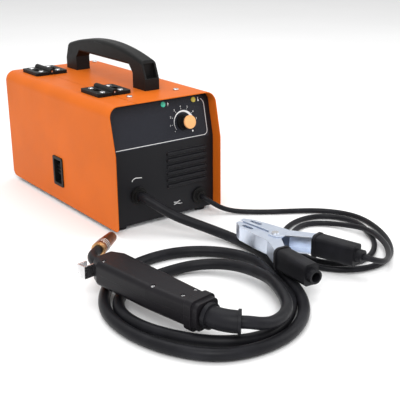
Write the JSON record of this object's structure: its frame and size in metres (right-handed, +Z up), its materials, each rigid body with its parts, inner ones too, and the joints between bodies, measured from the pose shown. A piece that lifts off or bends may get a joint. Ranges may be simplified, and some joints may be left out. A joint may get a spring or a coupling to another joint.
{
  "type": "mig welding machine",
  "caption": "Portable wire-feed welding machine: folded case with hinged side door, carry handle, wire feeder inside, a torch on a coiled cable and an earth clamp.",
  "frame": {"origin": "centre of the front left rubber foot's resting face, on the floor", "axes": "+Z up, +Y to the back of the case along its length, +X to the case's right as seen from its control panel"},
  "size_m": [0.4142, 0.747, 0.214],
  "materials": {
    "orange_paint": "satin",
    "black_paint": "satin",
    "zinc_sheet": "satin",
    "black_rubber": "matte",
    "black_nylon": "satin",
    "torch_plastic": "satin",
    "steel": "satin",
    "label_film": "satin",
    "cap_plastic": "satin",
    "lamp_lens": "gloss",
    "red_plastic": "gloss",
    "board": "satin",
    "aluminium": "satin",
    "core_iron": "satin",
    "spool_plastic": "satin",
    "copper_wire": "gloss",
    "die_cast": "matte",
    "brass": "gloss",
    "copper": "satin",
    "zinc_plate": "satin"
  },
  "bodies": {
    "machine": {"base_pan": "zinc_sheet", "cable_glands": "black_nylon", "carry_handle": "black_nylon", "case_screws": "steel", "circuit_board": "board", "clamp_grip_cable": "black_rubber", "clamp_jaw_cable": "zinc_plate", "clamp_pivot": "steel", "clamp_spring": "steel", "contact_tip": "copper", "control_label": "label_film", "earth_cable": "black_rubber", "fan_frame": "black_nylon", "feeder_body": "die_cast", "feeder_motor": "zinc_sheet", "front_panel": "black_paint", "heatsink": "aluminium", "hinge_leaves_fixed": "black_nylon", "hinge_pins": "steel", "mains_lead": "black_rubber", "mains_plug": "black_rubber", "nozzle_adapter": "brass", "panel_lamps": "lamp_lens", "partition": "zinc_sheet", "potentiometer": "zinc_sheet", "rear_panel": "black_paint", "rubber_feet": "black_rubber", "spool_retainer": "black_nylon", "spool_spindle": "black_nylon", "swan_neck": "black_paint", "switch_housing": "black_nylon", "top_cover": "orange_paint", "torch_boot": "black_rubber", "torch_cable": "black_rubber", "torch_fasteners": "steel", "torch_hook": "steel", "torch_nozzle": "copper", "torch_shell_lower": "torch_plastic", "torch_shell_upper": "torch_plastic", "transformer": "core_iron", "trigger_switch": "black_nylon", "welding_wire": "copper_wire"},
    "door": {"side_door": "orange_paint", "hinge_leaves_door": "black_nylon", "door_screws": "steel", "latch_bezel": "black_nylon"},
    "latch": {"latch_slider": "black_nylon"},
    "dial_knob": {"knob": "black_nylon", "knob_cap": "cap_plastic"},
    "rocker": {"switch_rocker": "red_plastic"},
    "fan": {"fan_rotor": "black_nylon"},
    "spool": {"wire_spool": "spool_plastic", "wire_coil": "copper_wire"},
    "lower_roll": {"drive_roll": "steel"},
    "arm": {"pressure_arm": "black_nylon"},
    "upper_roll": {"pressure_roll": "steel"},
    "tension_knob": {"tension_wheel": "red_plastic"},
    "trigger": {"torch_trigger": "torch_plastic"},
    "free_jaw": {"clamp_jaw_free": "zinc_plate", "clamp_grip_free": "black_rubber"}
  },
  "joints": [
    {"name": "door_hinge", "type": "hinge", "parent": "machine", "child": "door", "pos_m": [0.024, 0.127, 0.1666], "axis": [0, 1, 0], "range_deg": [0, 110]},
    {"name": "latch_slide", "type": "slide", "parent": "door", "child": "latch", "axis": [0, 0, 1], "range_m": [-0.008, 0]},
    {"name": "knob_turn", "type": "hinge", "parent": "machine", "child": "dial_knob", "pos_m": [0.0965, -0.00654, 0.1255], "axis": [0, -0.9766, 0.2152], "range_deg": [-140, 140]},
    {"name": "rocker_tilt", "type": "hinge", "parent": "machine", "child": "rocker", "pos_m": [0.014, 0.269, 0.118], "axis": [1, 0, 0], "range_deg": [0, 14]},
    {"name": "fan_spin", "type": "hinge", "parent": "machine", "child": "fan", "pos_m": [0.096, 0.257, 0.078], "axis": [0, 1, 0], "continuous": true},
    {"name": "spool_spin", "type": "hinge", "parent": "machine", "child": "spool", "pos_m": [0.022, 0.201, 0.0846], "axis": [1, 0, 0], "continuous": true},
    {"name": "lower_roll_spin", "type": "hinge", "parent": "machine", "child": "lower_roll", "pos_m": [0.022, 0.081, 0.02815], "axis": [1, 0, 0], "continuous": true},
    {"name": "arm_lift", "type": "hinge", "parent": "machine", "child": "arm", "pos_m": [0.022, 0.103, 0.05605], "axis": [-1, 0, 0], "range_deg": [0, 60]},
    {"name": "upper_roll_spin", "type": "hinge", "parent": "arm", "child": "upper_roll", "pos_m": [0.022, 0.081, 0.05405], "axis": [1, 0, 0], "continuous": true},
    {"name": "tension_turn", "type": "hinge", "parent": "arm", "child": "tension_knob", "pos_m": [0.022, 0.061, 0.075], "axis": [0, 0, 1], "range_deg": [-180, 180]},
    {"name": "trigger_pull", "type": "hinge", "parent": "machine", "child": "trigger", "pos_m": [-0.0961, -0.16576, 0.03174], "axis": [-0.0032, 0.0196, -0.9998], "range_deg": [0, 4]},
    {"name": "clamp_open", "type": "hinge", "parent": "machine", "child": "free_jaw", "pos_m": [0.084, -0.204, 0.0268], "axis": [0, 0, 1], "range_deg": [0, 28]}
  ],
  "couplings": [
    {"joint": "lower_roll_spin", "follows": "spool_spin", "ratio": -2.9066},
    {"joint": "upper_roll_spin", "follows": "spool_spin", "ratio": 3.6681}
  ]
}
